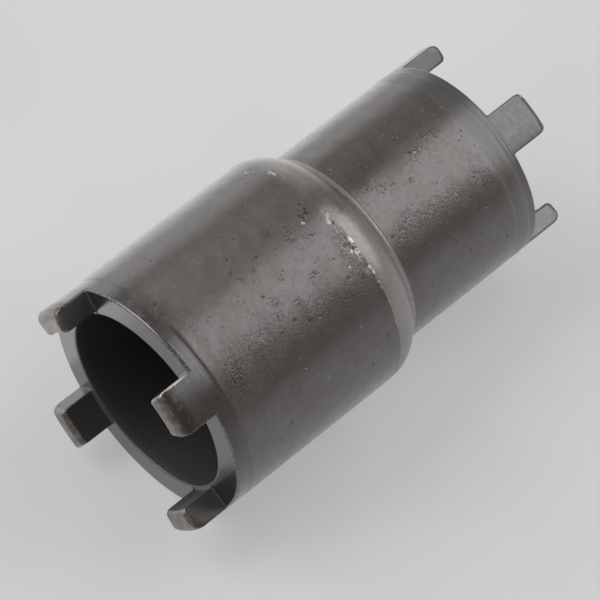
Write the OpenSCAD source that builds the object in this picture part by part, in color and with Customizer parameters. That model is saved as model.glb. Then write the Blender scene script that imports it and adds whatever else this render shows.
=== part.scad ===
// Double-ended clutch nut wrench: two lugged socket tubes, one pushed into the back of the other,
// with a square drive plate held between them and a weld bead round the joint.
// The tool lies on its side: its axis runs along +X from the large end to the small end.

/* [Large end] */
// Outside diameter of the large tube
large_od = 31; // [29:0.1:40]
// Bore of the large tube
large_bore = 24; // [18:0.1:25]
// Length of the straight part of the large tube, from its end face to the shoulder
large_body_l = 25.8; // [20:0.1:45]
// Length of the turned band behind the large end face
large_band_l = 1.8; // [0.8:0.1:6]

/* [Small end] */
// Outside diameter of the small tube
small_od = 26.4; // [25.4:0.1:27.6]
// Bore of the small tube
small_bore = 20.5; // [14:0.1:22.4]
// Length of the small tube that shows, from the foot of the shoulder to its end face
small_body_l = 20.1; // [10:0.1:40]
// Length of the turned band behind the small end face
small_band_l = 1.1; // [0.8:0.1:6]

/* [Lugs] */
// Number of lugs on each end
lug_count = 4; // [2:1:6]
// Width of a lug on the large end, across its outer face
large_lug_w = 5.9; // [3:0.1:9]
// Length of a lug on the large end
large_lug_l = 4.8; // [2.5:0.1:8]
// Turn of the large lugs about the axis, in degrees
large_lug_turn = 40.2; // [0:0.1:90]
// Width of a lug on the small end, across its outer face
small_lug_w = 5.6; // [3:0.1:9]
// Length of a lug on the small end
small_lug_l = 5.6; // [2.5:0.1:8]
// Turn of the small lugs about the axis, in degrees
small_lug_turn = 31.7; // [0:0.1:90]
// Step from the edge of the bore out to the inner face of a lug
lug_setback = 0.45; // [0.1:0.05:1]
// Radius of the two side corners at the tip of a lug
lug_corner_r = 0.6; // [0.2:0.1:1.2]
// Radius along the outer edge at the tip of a lug
lug_tip_r = 1.1; // [0.6:0.1:1.4]
// Radius along the inner edge at the tip of a lug
lug_tip_inner_r = 0.6; // [0.2:0.1:0.6]

/* [Shoulder and bead] */
// Angle that the rounded shoulder turns through before it meets the bead, in degrees
shoulder_turn = 51; // [35:1:65]
// Height of the bead above the small tube
bead_h = 0.45; // [0.25:0.05:0.9]

/* [Drive plate] */
// Side of the square drive hole
drive_square = 12.9; // [9.7:0.1:13.2]
// Thickness of the drive plate
plate_t = 6; // [3:0.1:10]
// Depth of the round relief at each mouth of the drive hole
drive_relief = 0.4; // [0.2:0.1:1]

/* [Turning and fits] */
// Depth of the turned bands below the tube
band_step = 0.05; // [0.05:0.05:0.4]
// Chamfer round the outer edges of the end faces
face_chamfer = 0.3; // [0.1:0.05:0.5]
// Chamfer round the mouths of the bores
mouth_chamfer = 0.15; // [0.05:0.05:0.3]
// Length of the small tube that is pushed into the large tube
insert_l = 7.7; // [4:0.1:11]
// Radial clearance of the pieces that sit in and on one another
seat_clearance = 0.04; // [0.02:0.01:0.1]

/* [Hidden] */
$fn = 96;
large_r = large_od / 2;
small_r = small_od / 2;
seat_r = small_r + seat_clearance;
// The shoulder is an arc from the large tube down to the top of the bead
shoulder_r = (large_r - small_r - bead_h) / (1 - cos(shoulder_turn));
// The bead is hollowed by an arc that leaves the shoulder at the same slope and meets the small tube
bead_r = bead_h / (1 - cos(shoulder_turn));
// Stations along the axis, from the large end face
lip_z = large_body_l + shoulder_r * sin(shoulder_turn);
foot_z = lip_z + bead_r * sin(shoulder_turn);
insert_z = lip_z - insert_l;
plate_z = insert_z - plate_t;
small_face_z = foot_z + small_body_l;
tool_l = large_lug_l + small_face_z + small_lug_l;
// A cut runs past the solid, and a joined shape runs into it, by this much
overlap = 1;
steel = [0.40, 0.38, 0.37];
bare_steel = [0.55, 0.53, 0.51];

// Lays the tool on its side, with the middle of its length over the origin
module lay_down() {
    translate([large_lug_l - tool_l / 2, 0, large_r])
        rotate([0, 90, 0])
            children();
}

// Section of a ring of lugs through the axis, with its root on the end face and its tip below it.
// The wall limits how far the two edges of the tip are rounded.
module lug_section(inner_r, outer_r, length) {
    wall = outer_r - inner_r;
    tip_r = min(lug_tip_r, wall / 2);
    tip_inner_r = min(lug_tip_inner_r, wall / 4);
    translate([inner_r, tip_r - length])
        square([wall, length - tip_r + overlap]);
    translate([inner_r, tip_inner_r - length])
        square([wall - tip_r, length - tip_inner_r]);
    translate([inner_r + tip_inner_r, -length])
        square([wall - tip_r - tip_inner_r, length]);
    translate([outer_r - tip_r, tip_r - length])
        circle(tip_r);
    translate([inner_r + tip_inner_r, tip_inner_r - length])
        circle(tip_inner_r);
}

// Outline of a lug seen from outside, with its root on the end face and its tip below it
module lug_outline(width, length) {
    tip_w = width - 2 * lug_corner_r;
    translate([-width / 2, lug_corner_r - length])
        square([width, length - lug_corner_r + overlap]);
    translate([-tip_w / 2, -length])
        square([tip_w, length]);
    for (side = [-1, 1])
        translate([side * tip_w / 2, lug_corner_r - length])
            circle(lug_corner_r);
}

// Space that one lug fills, out along +X: its sides point at the axis and its tip has round corners
module lug_space(reach, half_angle, width, length) {
    half_w = reach * tan(half_angle);
    intersection() {
        rotate([90, 0, 90])
            linear_extrude(reach)
                lug_outline(width, length);
        translate([0, 0, -length - overlap])
            linear_extrude(length + 3 * overlap)
                polygon([[0, 0], [reach, -half_w], [reach, half_w]]);
    }
}

// Ring of lugs on an end face at z = 0, pointing down
module lugs(band_r, bore_r, width, length, turn) {
    half_angle = asin(width / 2 / band_r);
    intersection() {
        rotate_extrude()
            lug_section(bore_r + lug_setback, band_r, length);
        for (i = [0 : lug_count - 1])
            rotate([0, 0, turn + i * 360 / lug_count])
                lug_space(band_r + overlap, half_angle, width, length);
    }
}

// Chamfered end of a tube, its turned band and the plain tube above it, solid to the axis
module end_outline(body_r, band_l, length) {
    band_r = body_r - band_step;
    polygon([
        [0, 0],
        [band_r - face_chamfer, 0],
        [band_r, face_chamfer],
        [band_r, band_l],
        [body_r, band_l + band_step],
        [body_r, length],
        [0, length]
    ]);
}

// Bore from an end face at z = 0 up to a depth, with a chamfered mouth
module bore_cut(bore_r, depth, lug_l) {
    translate([0, 0, -lug_l - overlap])
        cylinder(r = bore_r, h = lug_l + overlap + depth);
    cylinder(r1 = bore_r + mouth_chamfer, r2 = bore_r, h = mouth_chamfer);
}

// Rounded shoulder above the straight part of the large tube, solid to the axis
module shoulder_outline() {
    centre_r = large_r - shoulder_r;
    translate([0, large_body_l])
        intersection() {
            translate([centre_r, 0])
                circle(shoulder_r);
            translate([centre_r, 0])
                square([shoulder_r, lip_z - large_body_l]);
        }
    translate([0, large_body_l])
        square([centre_r, lip_z - large_body_l]);
}

module large_socket() {
    bore_r = large_bore / 2;
    color(steel)
        lay_down()
            difference() {
                union() {
                    rotate_extrude() {
                        end_outline(large_r, large_band_l, large_body_l);
                        shoulder_outline();
                    }
                    lugs(large_r - band_step, bore_r, large_lug_w, large_lug_l, large_lug_turn);
                }
                bore_cut(bore_r, lip_z, large_lug_l);
                translate([0, 0, plate_z])
                    cylinder(r = seat_r, h = lip_z - plate_z + overlap);
            }
}

module small_socket() {
    bore_r = small_bore / 2;
    tube_l = small_face_z - insert_z;
    color(steel)
        lay_down()
            translate([0, 0, small_face_z])
                mirror([0, 0, 1])
                    difference() {
                        union() {
                            rotate_extrude()
                                end_outline(small_r, small_band_l, tube_l);
                            lugs(small_r - band_step, bore_r, small_lug_w, small_lug_l, small_lug_turn);
                        }
                        bore_cut(bore_r, tube_l + overlap, small_lug_l);
                    }
}

// Shallow round relief at a mouth of the drive hole, cut up from z = 0, with a ledge beyond the corners
module relief_cut() {
    ledge_r = drive_square / sqrt(2) + drive_relief;
    cylinder(r1 = ledge_r + drive_relief, r2 = ledge_r, h = drive_relief);
}

module drive_plate() {
    color(bare_steel)
        lay_down()
            translate([0, 0, plate_z])
                difference() {
                    cylinder(r = small_r, h = plate_t);
                    translate([-drive_square / 2, -drive_square / 2, -overlap])
                        cube([drive_square, drive_square, plate_t + 2 * overlap]);
                    relief_cut();
                    translate([0, 0, plate_t])
                        mirror([0, 0, 1])
                            relief_cut();
                }
}

module weld_bead() {
    color(bare_steel)
        lay_down()
            rotate_extrude()
                difference() {
                    translate([seat_r, lip_z])
                        square([bead_h - seat_clearance, foot_z - lip_z]);
                    translate([small_r + bead_r, foot_z])
                        circle(bead_r);
                }
}

large_socket();
small_socket();
drive_plate();
weld_bead();
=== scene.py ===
"""Looks of a double-ended clutch nut wrench: two lugged socket tubes, a drive plate and a weld bead.

Lengths in the tables are millimetres and become metres when a mesh is made. A place on a tube is given by
its depth behind the end face, its radius and its angle about the axis, from +Y towards +Z.
"""

import math
from dataclasses import dataclass

import bpy
import numpy as np
from mathutils import Matrix, Vector


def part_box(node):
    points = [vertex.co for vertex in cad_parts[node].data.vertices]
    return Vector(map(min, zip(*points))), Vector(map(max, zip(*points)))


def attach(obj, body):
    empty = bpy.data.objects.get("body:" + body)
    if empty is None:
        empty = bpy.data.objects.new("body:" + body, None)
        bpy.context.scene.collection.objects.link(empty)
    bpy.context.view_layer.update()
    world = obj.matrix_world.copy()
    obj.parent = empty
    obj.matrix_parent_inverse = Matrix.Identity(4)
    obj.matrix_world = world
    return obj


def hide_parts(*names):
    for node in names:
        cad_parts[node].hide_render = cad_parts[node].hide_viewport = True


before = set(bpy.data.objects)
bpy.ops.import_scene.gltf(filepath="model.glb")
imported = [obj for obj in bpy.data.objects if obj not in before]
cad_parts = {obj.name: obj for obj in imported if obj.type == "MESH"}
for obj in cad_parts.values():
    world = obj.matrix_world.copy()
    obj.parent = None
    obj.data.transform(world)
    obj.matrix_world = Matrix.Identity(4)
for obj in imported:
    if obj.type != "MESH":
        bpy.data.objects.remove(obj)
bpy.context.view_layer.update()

MM = 0.001
BODY = "root"
WELD_MM = 1e-4
TURN = 2 * math.pi
QUARTER = math.pi / 2

# Lugs and end faces: how many lugs, the radii of their corners and edges, and their setback from the bore
LUG_COUNT = 4
LUG_CORNER_R = 0.6
LUG_TIP_R = 1.1
LUG_TIP_INNER_R = 0.6
LUG_EDGE_R = 0.2
LUG_ROOT_R = 0.2
LUG_SETBACK = 0.45
FACE_CHAMFER = 0.3
MOUTH_R = 0.15
# Depth of the turned bands below the tube, and the length over which the tube rises behind them
BAND_STEP, BAND_FADE = 0.05, 0.35

# Steps of the mesh
ROOT_STEPS, WALL_STEPS, EDGE_STEPS, CORNER_STEPS = 4, 8, 5, 5
GAP_COLUMNS, LUG_COLUMNS = 28, 22
LUG_FACE_ROWS, TIP_ROWS, TIP_ARC_ROWS = 14, 5, 6
ARCH_ROWS = 2 * LUG_FACE_ROWS + 2 * TIP_ARC_ROWS + TIP_ROWS + 1
CHAMFER_ROWS = 4
BEAD_COLUMNS, PLATE_COLUMNS = 360, 320
# The columns are close at the lugs and spread out evenly over this depth
FAN_L = 3.5
# What a column of a tube holds: its angle at the lugs and its even angle, the lift of its foot off the face,
# its rise up a lug from 0 to 1, how far the lug is inset and its tip lowered there, and how far past the
# lug's side it stands
LUG_ANGLE, EVEN_ANGLE, LIFT, RISE, INSET, DROP, PAST = range(7)


@dataclass(frozen=True)
class Tube:
    """One lugged end: its node, which way it runs along x from its face, its sizes and its finish.

    The finish is how far back and how strongly the end looks turned, the satin and matt shares of that band,
    how worn the tips of the lugs are, how much painted shade their sides get and how satin they are.
    """

    node: str
    inward: int
    body_r: float
    bore_r: float
    band_l: float
    lug_w: float
    lug_l: float
    lug_turn: float
    turned_l: float
    turned_share: float
    band_satin: float
    band_matt: float
    tip_wear: float
    side_painted_shade: float
    side_satin: float

    @property
    def face_x(self):
        low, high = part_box(self.node)
        tip = low.x if self.inward > 0 else high.x
        return tip / MM + self.inward * self.lug_l

    @property
    def band_r(self):
        return self.body_r - BAND_STEP

    @property
    def lug_inner_r(self):
        return self.bore_r + LUG_SETBACK

    @property
    def lug_half_angle(self):
        return math.asin(self.lug_w / 2 / self.band_r)


LARGE = Tube(
    node="large_socket",
    inward=1,
    body_r=15.5,
    bore_r=12.0,
    band_l=1.8,
    lug_w=5.9,
    lug_l=4.8,
    lug_turn=40.2,
    turned_l=1.9,
    turned_share=0.9,
    band_satin=0.0,
    band_matt=0.0,
    tip_wear=1.0,
    side_painted_shade=0.8,
    side_satin=0.0,
)
SMALL = Tube(
    node="small_socket",
    inward=-1,
    body_r=13.2,
    bore_r=10.25,
    band_l=1.1,
    lug_w=5.6,
    lug_l=5.6,
    lug_turn=31.7,
    turned_l=3.2,
    turned_share=0.95,
    band_satin=0.12,
    band_matt=0.5,
    tip_wear=0.0,
    side_painted_shade=0.0,
    side_satin=0.3,
)
AXIS_Z = LARGE.body_r

# Joint of the two tubes
SHOULDER_TURN = math.radians(51)
BEAD_H, SEAT_CLEARANCE = 0.45, 0.04
INSERT_L, PLATE_T, SMALL_BODY_L = 7.7, 6.0, 20.1
DRIVE_SQUARE, DRIVE_RELIEF = 12.9, 0.4
SEAT_R = SMALL.body_r + SEAT_CLEARANCE
SHOULDER_R = (LARGE.body_r - SMALL.body_r - BEAD_H) / (1 - math.cos(SHOULDER_TURN))
BEAD_R = BEAD_H / (1 - math.cos(SHOULDER_TURN))
# Depths behind the large face
SHOULDER_Z = 25.8
LIP_Z = SHOULDER_Z + SHOULDER_R * math.sin(SHOULDER_TURN)
FOOT_Z = LIP_Z + BEAD_R * math.sin(SHOULDER_TURN)
SMALL_FACE_Z = FOOT_Z + SMALL_BODY_L
INSERT_Z = LIP_Z - INSERT_L
PLATE_Z = INSERT_Z - PLATE_T
# The rows are finer from here to the shoulder, and up to here behind the small face, where the fine marks are
FINE_Z, SMALL_FINE_Z = 22.4, 4.2
# The turned shoulder starts a little below the body and rises back to its arc, but not all the way round
SHOULDER_STEP, SHOULDER_FADE = 0.07, 0.6
CRISP_FROM, CRISP_TO, CRISP_FADE = math.radians(99), math.radians(345), math.radians(12)
# Painted shade on the shoulder: near this angle it keeps the dark oxide instead of turning satin
SHOULDER_SHADE_AT, SHOULDER_SHADE_WIDTH, SHOULDER_SHADE_SHARE = math.radians(95), math.radians(9), 0.6


def run(start, end, rows):
    """Points from start up to, but not including, end."""
    share = np.arange(rows)[:, None] / rows
    return np.array(start) * (1 - share) + np.array(end) * share


def arc(centre, radius, first, last, rows):
    """Points of an arc in the (depth, radius) plane from one angle up to, but not including, another."""
    angle = first + (last - first) * np.arange(rows) / rows
    return np.stack([centre[0] + radius * np.cos(angle), centre[1] + radius * np.sin(angle)], 1)


def smooth(value):
    """Smooth step from 0 to 1."""
    value = np.clip(value, 0, 1)
    return value * value * (3 - 2 * value)


def bell(value, half):
    """Bell curve with its peak of 1 at zero."""
    return np.exp(-((value / half) ** 2))


def turn_from(place, angle):
    """Angle past a place round the tube, within half a turn either way."""
    return (angle - place + math.pi) % TURN - math.pi


def corner_drop(distance):
    """How much lower the tip of a lug is at this distance from its side."""
    reach = LUG_CORNER_R - min(distance, LUG_CORNER_R)
    return LUG_CORNER_R - math.sqrt(LUG_CORNER_R**2 - reach**2)


def side_columns():
    """Columns from the face ring up one side of a lug: distance past the side, lift, rise, inset and drop."""
    columns = []
    for k in range(ROOT_STEPS):
        a = QUARTER * k / ROOT_STEPS
        past, lift = LUG_ROOT_R * (math.sin(a) - 1), LUG_ROOT_R * (1 - math.cos(a))
        columns.append((past, lift, 0.0, LUG_EDGE_R, LUG_CORNER_R))
    for k in range(WALL_STEPS + 1):
        columns.append((0.0, LUG_ROOT_R, k / WALL_STEPS, LUG_EDGE_R, LUG_CORNER_R))
    for k in range(1, EDGE_STEPS + 1):
        a = QUARTER * k / EDGE_STEPS
        past = LUG_EDGE_R * (1 - math.cos(a))
        columns.append((past, LUG_ROOT_R, 1.0, LUG_EDGE_R * (1 - math.sin(a)), corner_drop(past)))
    for k in range(1, CORNER_STEPS + 1):
        past = LUG_EDGE_R + (LUG_CORNER_R - LUG_EDGE_R) * k / CORNER_STEPS
        columns.append((past, LUG_ROOT_R, 1.0, 0.0, corner_drop(past)))
    return columns


def tube_columns(tube):
    """All columns round a tube, lug by lug."""
    side = side_columns()
    half, spread = tube.lug_half_angle, TURN / LUG_COUNT
    root = half + LUG_ROOT_R / tube.band_r
    inner = half - LUG_CORNER_R / tube.band_r
    flat = (0.0, 0.0, LUG_EDGE_R, LUG_CORNER_R, -LUG_ROOT_R)
    one = [(a, *flat) for a in np.linspace(-spread / 2, -root, GAP_COLUMNS, endpoint=False)]
    one += [(past / tube.band_r - half, *rest, past) for past, *rest in side]
    top = np.linspace(-inner, inner, LUG_COLUMNS)[1:-1]
    one += [(a, LUG_ROOT_R, 1.0, 0.0, 0.0, (half - abs(a)) * tube.band_r) for a in top]
    one += [(half - past / tube.band_r, *rest, past) for past, *rest in reversed(side)]
    one += [(a, *flat) for a in np.linspace(root, spread / 2, GAP_COLUMNS + 1)[1:-1]]
    one = np.array(one)
    even = np.arange(len(one)) / len(one) * spread - spread / 2
    columns = []
    for k in range(LUG_COUNT):
        part = np.column_stack([one[:, 0], even, one[:, 1:]])
        part[:, [LUG_ANGLE, EVEN_ANGLE]] += math.radians(tube.lug_turn) + k * spread
        columns.append(part)
    return np.concatenate(columns)


def lug_arch(tube, inset, drop):
    """Outline of a lug's section from the inner root over the tip to the outer root, as (depth, radius)."""
    inner, outer = tube.lug_inner_r + inset, tube.band_r - inset
    tip = drop + inset - tube.lug_l
    inner_r, outer_r = LUG_TIP_INNER_R - inset, LUG_TIP_R - inset
    parts = [
        run((0, inner), (tip + inner_r, inner), LUG_FACE_ROWS),
        arc((tip + inner_r, inner + inner_r), inner_r, -QUARTER, -2 * QUARTER, TIP_ARC_ROWS),
        run((tip, inner + inner_r), (tip, outer - outer_r), TIP_ROWS),
        arc((tip + outer_r, outer - outer_r), outer_r, 2 * QUARTER, QUARTER, TIP_ARC_ROWS),
        run((tip + outer_r, outer), (0, outer), LUG_FACE_ROWS),
        [(0, outer)],
    ]
    return np.concatenate(parts)


def lug_rows(tube, columns):
    """(depth, radius) of the rows over the face ring and the lugs, for every column."""
    share = np.linspace(0, 1, ARCH_ROWS)
    base_r = tube.lug_inner_r + (tube.band_r - FACE_CHAMFER - tube.lug_inner_r) * share
    grid = np.zeros((ARCH_ROWS, len(columns), 2))
    made = {}
    for j, (_, _, lift, rise, inset, drop, _) in enumerate(columns):
        if (inset, drop) not in made:
            made[inset, drop] = lug_arch(tube, inset, drop)
        base = np.column_stack([np.full(ARCH_ROWS, -lift), base_r])
        grid[:, j] = base * (1 - rise) + made[inset, drop] * rise
    return grid


def chamfer_rows(tube, columns):
    """(depth, radius) of the rows from the outer root of the face ring or a lug down to the turned band."""
    share = np.arange(1, CHAMFER_ROWS)[:, None] / CHAMFER_ROWS
    lift, rise, inset = columns[:, [LIFT, RISE, INSET]].T
    ring_depth = FACE_CHAMFER * (1 - np.cos(share * QUARTER)) - lift * (1 - share)
    ring_r = tube.band_r - FACE_CHAMFER * (1 - np.sin(share * QUARTER))
    lug_depth = FACE_CHAMFER * share
    lug_r = tube.band_r - inset * (1 - share)
    depth = ring_depth * (1 - rise) + lug_depth * rise
    radius = ring_r * (1 - rise) + lug_r * rise
    return np.stack([depth, radius], 2)


def mesh_object(name, points, faces):
    """A smooth mesh object from points in millimetres."""
    mesh = bpy.data.meshes.new(name)
    mesh.from_pydata((np.asarray(points) * MM).tolist(), [], faces)
    mesh.shade_smooth()
    mesh.validate()
    piece = bpy.data.objects.new(name, mesh)
    bpy.context.scene.collection.objects.link(piece)
    return piece


def grid_faces(rows, columns):
    """Quads of a grid that closes on itself both ways."""
    i, j = np.meshgrid(np.arange(rows), np.arange(columns), indexing="ij")
    down, on = (i + 1) % rows, (j + 1) % columns
    quads = np.stack([i * columns + j, down * columns + j, down * columns + on, i * columns + on], -1)
    return quads.reshape(-1, 4)


def welded(points, quads, masks):
    """Joins points that coincide, and drops the faces that vanish."""
    keys = np.round(points / WELD_MM).astype(np.int64)
    _, first, where = np.unique(keys, axis=0, return_index=True, return_inverse=True)
    quads = where.reshape(-1)[quads]
    ordered = np.sort(quads, axis=1)
    whole = (ordered[:, 1:] != ordered[:, :-1]).all(1)
    faces = quads[whole].tolist()
    for quad in quads[~whole].tolist():
        ring = [p for k, p in enumerate(quad) if p != quad[k - 1]]
        if len(ring) == len(set(ring)) == 3:
            faces.append(ring)
    return points[first], faces, {name: mask[first] for name, mask in masks.items()}


def right_side_out(points, faces):
    """Turns all faces round if the closed mesh is inside out."""
    fans = np.array([face[k] for face in faces for j in range(1, len(face) - 1) for k in (0, j, j + 1)])
    a, b, c = (points[fans[k::3]] for k in range(3))
    volume = (a * np.cross(b, c)).sum()
    return faces if volume > 0 else [face[::-1] for face in faces]


def closed_grid(name, depth, radius, angle, face_x, inward, masks):
    """A closed piece from a grid of depths, radii and angles, with its masks as point attributes."""
    x = face_x + inward * depth
    points = np.stack([x, radius * np.cos(angle), AXIS_Z + radius * np.sin(angle)], -1).reshape(-1, 3)
    quads = grid_faces(*depth.shape)
    flat_masks = {key: np.asarray(mask, float).reshape(-1) for key, mask in masks.items()}
    points, faces, flat_masks = welded(points, quads, flat_masks)
    piece = mesh_object(name, points, right_side_out(points, faces))
    for key, mask in flat_masks.items():
        attribute = piece.data.attributes.new(key, "FLOAT", "POINT")
        attribute.data.foreach_set("value", mask.astype(np.float32))
    return piece


def waves(depth, angle, seed, count, height, shortest, longest):
    """Gentle unevenness, the same on each run."""
    rng = np.random.default_rng(seed)
    total = np.zeros(np.broadcast(depth, angle).shape)
    for _ in range(count):
        length = rng.uniform(shortest, longest)
        heading = rng.uniform(0, TURN)
        turns = round(TURN * AXIS_Z / length * math.sin(heading))
        total += np.cos(turns * angle + depth * TURN / length * math.cos(heading) + rng.uniform(0, TURN))
    return height * total / math.sqrt(count)


def dents(depth, angle, radius, marks):
    """Depth of small dents: each mark is its depth behind the face, angle, width, length, slant and depth."""
    total = np.zeros(np.broadcast(depth, angle).shape)
    for at, turn, width, length, slant, deep in marks:
        along = depth - at
        around = turn_from(math.radians(turn), angle) * radius
        c, s = math.cos(math.radians(slant)), math.sin(math.radians(slant))
        across, down = (along * c + around * s) / width, (around * c - along * s) / length
        total += deep * np.exp(-(across * across + down * down))
    return total


# Dings in the edge of the shoulder: depth behind the large face, angle, width, length, slant and how deep
LARGE_DINGS = [
    (25.2, 105.9, 0.30, 0.50, 10, 0.08),
    (25.1, 120.9, 0.35, 0.40, 30, 0.10),
    (25.5, 131.1, 0.30, 0.40, 0, 0.08),
    (25.3, 160.0, 0.35, 0.40, 20, 0.07),
    (25.6, 205.0, 0.30, 0.50, 0, 0.08),
    (25.4, 262.0, 0.35, 0.40, 15, 0.08),
    (25.7, 318.0, 0.30, 0.50, -10, 0.08),
    (25.5, 12.0, 0.30, 0.40, 10, 0.07),
]
# Pocked places on the large tube, as the dings, with how pocked for the depth
LARGE_POCKS = [
    (23.65, 95.4, 0.75, 0.75, 20, 1.6),
    (22.9, 98.6, 0.5, 0.4, 0, 0.7),
    (18.7, 92.2, 0.4, 0.7, 25, 0.9),
    (13.0, 90.9, 0.5, 0.4, 10, 0.9),
    (11.9, 96.5, 0.4, 0.4, 40, 0.9),
    (12.2, 100.8, 0.4, 0.5, 0, 0.8),
    (14.7, 79.9, 0.5, 0.4, 0, 0.7),
    (20.9, 96.0, 0.4, 0.5, 30, 0.8),
    (20.2, 100.5, 0.6, 0.6, 20, 0.8),
    (22.0, 104.5, 0.6, 0.6, 0, 0.7),
    (19.2, 120.4, 0.5, 0.6, 15, 0.9),
    (16.0, 112.0, 0.3, 0.4, 0, 0.7),
    (13.3, 118.2, 0.5, 0.4, 60, 0.9),
    (12.8, 123.8, 0.6, 0.4, 30, 0.9),
    (15.8, 124.5, 0.4, 0.5, 0, 0.8),
    (12.2, 131.0, 0.6, 0.5, 0, 0.7),
    (21.0, 137.0, 0.9, 0.8, -20, 0.8),
    (24.3, 132.0, 1.0, 2.4, 0, 0.6),
    (24.8, 117.0, 0.7, 1.6, 0, 0.7),
    (17.5, 132.0, 3.0, 1.4, 0, 0.45),
    (8.5, 130.0, 3.0, 2.0, 0, 0.5),
    (4.4, 134.0, 1.6, 2.6, 0, 0.6),
    (24.4, 57.0, 0.6, 1.0, 0, 0.9),
    (25.4, 68.5, 0.5, 1.2, 0, 0.9),
    (9.0, 250.0, 0.6, 0.5, 20, 0.8),
    (17.0, 300.0, 0.6, 0.6, -15, 0.8),
    (6.5, 340.0, 0.5, 0.5, 0, 0.7),
    (20.0, 225.0, 1.0, 0.9, 30, 0.7),
    (22.0, 15.0, 0.8, 0.7, 0, 0.7),
]
# Pocked places on the small tube, with depths behind its own face
SMALL_POCKS = [
    (10.6, 100.0, 0.8, 0.8, 10, 1.0),
    (16.7, 105.8, 0.5, 0.4, 20, 0.8),
    (13.2, 112.0, 0.3, 0.3, 0, 0.7),
    (16.8, 128.5, 1.4, 1.2, 25, 0.55),
    (18.4, 134.0, 1.2, 1.2, 15, 0.6),
    (13.5, 131.5, 1.8, 1.0, 0, 0.6),
    (10.0, 132.5, 2.0, 0.9, 0, 0.5),
    (6.3, 131.8, 0.9, 0.8, 0, 0.7),
    (5.4, 138.5, 0.7, 0.7, 30, 0.7),
    (12.3, 138.9, 0.5, 0.5, 0, 0.8),
    (7.5, 98.0, 1.6, 0.8, 0, 0.5),
    (9.0, 230.0, 0.6, 0.6, 0, 0.8),
    (14.0, 290.0, 0.8, 0.6, 20, 0.8),
    (6.0, 345.0, 0.6, 0.6, 0, 0.7),
]
# Rubbed spots that show bare steel, and painted glints beside pits and on lug edges: as the dings, with how
# bare for the depth
LARGE_SCUFFS_AND_GLINTS = [
    (24.35, 55.2, 0.5, 0.8, 0, 0.60),
    (24.8, 58.8, 0.3, 0.5, 0, 0.50),
    (25.55, 67.0, 0.4, 0.7, 0, 0.55),
    (25.55, 70.0, 0.3, 0.6, 0, 0.55),
    (25.75, 75.9, 0.3, 0.6, 0, 0.50),
    (25.6, 99.5, 0.7, 1.2, 20, 0.24),
    (25.4, 103.0, 0.8, 1.4, 20, 0.24),
    (26.3, 106.0, 0.9, 1.4, 0, 0.22),
    (25.15, 105.6, 0.4, 0.7, 20, 0.24),
    (25.2, 110.5, 0.4, 1.2, 0, 0.36),
    (25.75, 117.1, 0.28, 0.40, 0, 0.60),
    (25.6, 120.0, 0.35, 1.6, 0, 0.30),
    (24.95, 121.3, 0.28, 0.40, 30, 0.75),
    (25.4, 122.8, 0.3, 0.4, 0, 0.50),
    (25.2, 125.7, 0.35, 0.6, 0, 0.42),
    (23.6, 126.3, 0.22, 0.25, 0, 0.90),
    (25.75, 131.2, 0.22, 0.30, 0, 0.80),
    (25.9, 133.8, 0.2, 0.3, 0, 0.65),
    (25.8, 139.8, 0.2, 1.2, 0, 0.38),
    (26.0, 149.4, 0.2, 0.35, 0, 0.55),
    (25.85, 160.0, 0.25, 0.5, 0, 0.45),
    # A painted glint beside a pit
    (22.65, 99.0, 0.22, 0.25, 0, 1.0),
    (13.9, 156.5, 0.35, 0.8, 0, 0.50),
    (14.8, 161.5, 0.35, 0.7, 10, 0.45),
    (18.4, 166.0, 0.35, 0.6, 0, 0.45),
    (25.7, 205.0, 0.3, 0.9, 0, 0.45),
    (25.6, 262.0, 0.4, 0.8, 0, 0.45),
    (25.7, 318.0, 0.3, 1.0, 0, 0.45),
    # A painted highlight along the edge of a lug
    (-2.2, 119.5, 1.9, 0.22, 0, 0.65),
]
# Painted glints beside pits and at the corner of a lug
SMALL_PAINTED_GLINTS = [
    (10.4, 101.6, 0.30, 0.25, 0, 0.60),
    (6.5, 131.4, 0.25, 0.25, 0, 0.70),
    (14.0, 291.0, 0.3, 0.25, 0, 0.60),
    (-5.2, 111.2, 0.35, 0.6, 0, 0.95),
]
# Painted shade as dark scorch-brown patches on the tubes, and painted sheen as lighter satin patches on and
# behind the bands
LARGE_PAINTED_SHADE_PATCHES = [
    (1.0, 90.0, 2.2, 3.8, 0, 1.0),
    (0.9, 133.0, 1.2, 1.6, 0, 0.5),
    (0.8, 157.0, 1.1, 2.4, 0, 0.5),
    (3.6, 133.5, 1.8, 1.6, 0, 0.32),
    (20.5, 134.0, 2.4, 1.4, 0, 0.26),
    (26.3, 95.3, 1.0, 1.3, 0, 0.35),
    (27.5, 103.0, 1.1, 1.1, 25, 0.45),
]
# Painted shade patches on the small tube
SMALL_PAINTED_SHADE_PATCHES = [
    (15.6, 94.0, 3.6, 2.4, 0, 0.4),
    (18.6, 96.0, 1.6, 1.6, 0, 0.3),
]
# Painted sheen: a lighter patch on the large tube behind its band
LARGE_PAINTED_SHEEN = [
    (2.45, 114.0, 0.55, 4.2, 0, 0.15),
]
# Painted sheen: lighter patches on the small band, lighter towards the bottom
SMALL_PAINTED_SHEEN = [
    (3.2, 128.0, 0.5, 3.2, 0, 0.20),
    (3.25, 158.0, 0.25, 10.0, 0, 0.30),
    (1.4, 170.0, 1.5, 8.0, 0, 0.25),
    (1.2, 140.0, 1.2, 3.0, 0, 0.15),
]
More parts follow.
